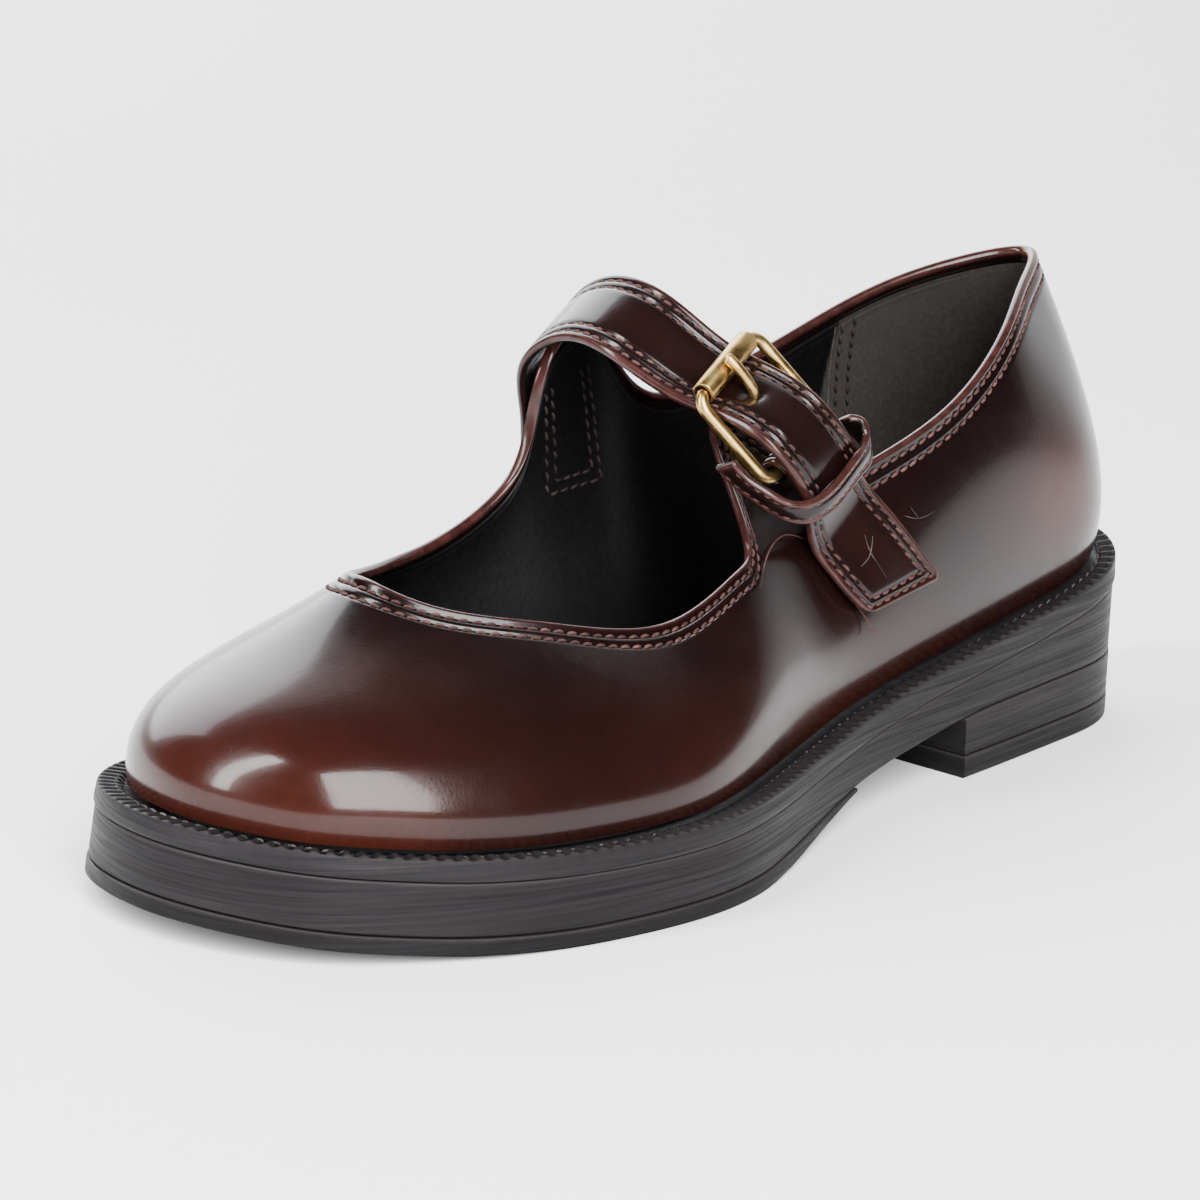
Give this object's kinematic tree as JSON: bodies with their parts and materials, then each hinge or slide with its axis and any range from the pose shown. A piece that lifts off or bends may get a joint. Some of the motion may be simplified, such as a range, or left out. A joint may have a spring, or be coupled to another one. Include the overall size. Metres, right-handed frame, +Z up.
{
  "type": "mary jane strap shoe",
  "caption": "Left leather strap shoe with a rounded toe, buckled instep strap, notched welt, stacked sole and low block heel.",
  "frame": {"origin": "on the floor, under the middle of the shoe's bounding box", "axes": "+Z up, -X towards the toe, -Y towards the outer side with the buckle, +Y towards the inner side"},
  "size_m": [0.265, 0.107, 0.1029],
  "materials": {
    "outsole": "matte",
    "sole_edge": "satin",
    "welt": "satin",
    "insole": "matte",
    "upper_leather": "polished",
    "strap_leather": "polished",
    "buckle_metal": "satin"
  },
  "bodies": {
    "root": {"outsole": "outsole", "midsole": "sole_edge", "welt": "welt", "heel_block": "sole_edge", "heel_top_lift": "outsole", "insole": "insole", "upper": "upper_leather", "strap": "strap_leather", "chape": "strap_leather", "keeper_loop": "strap_leather", "buckle_frame": "buckle_metal", "buckle_roller": "buckle_metal", "buckle_prong": "buckle_metal"}
  },
  "joints": []
}
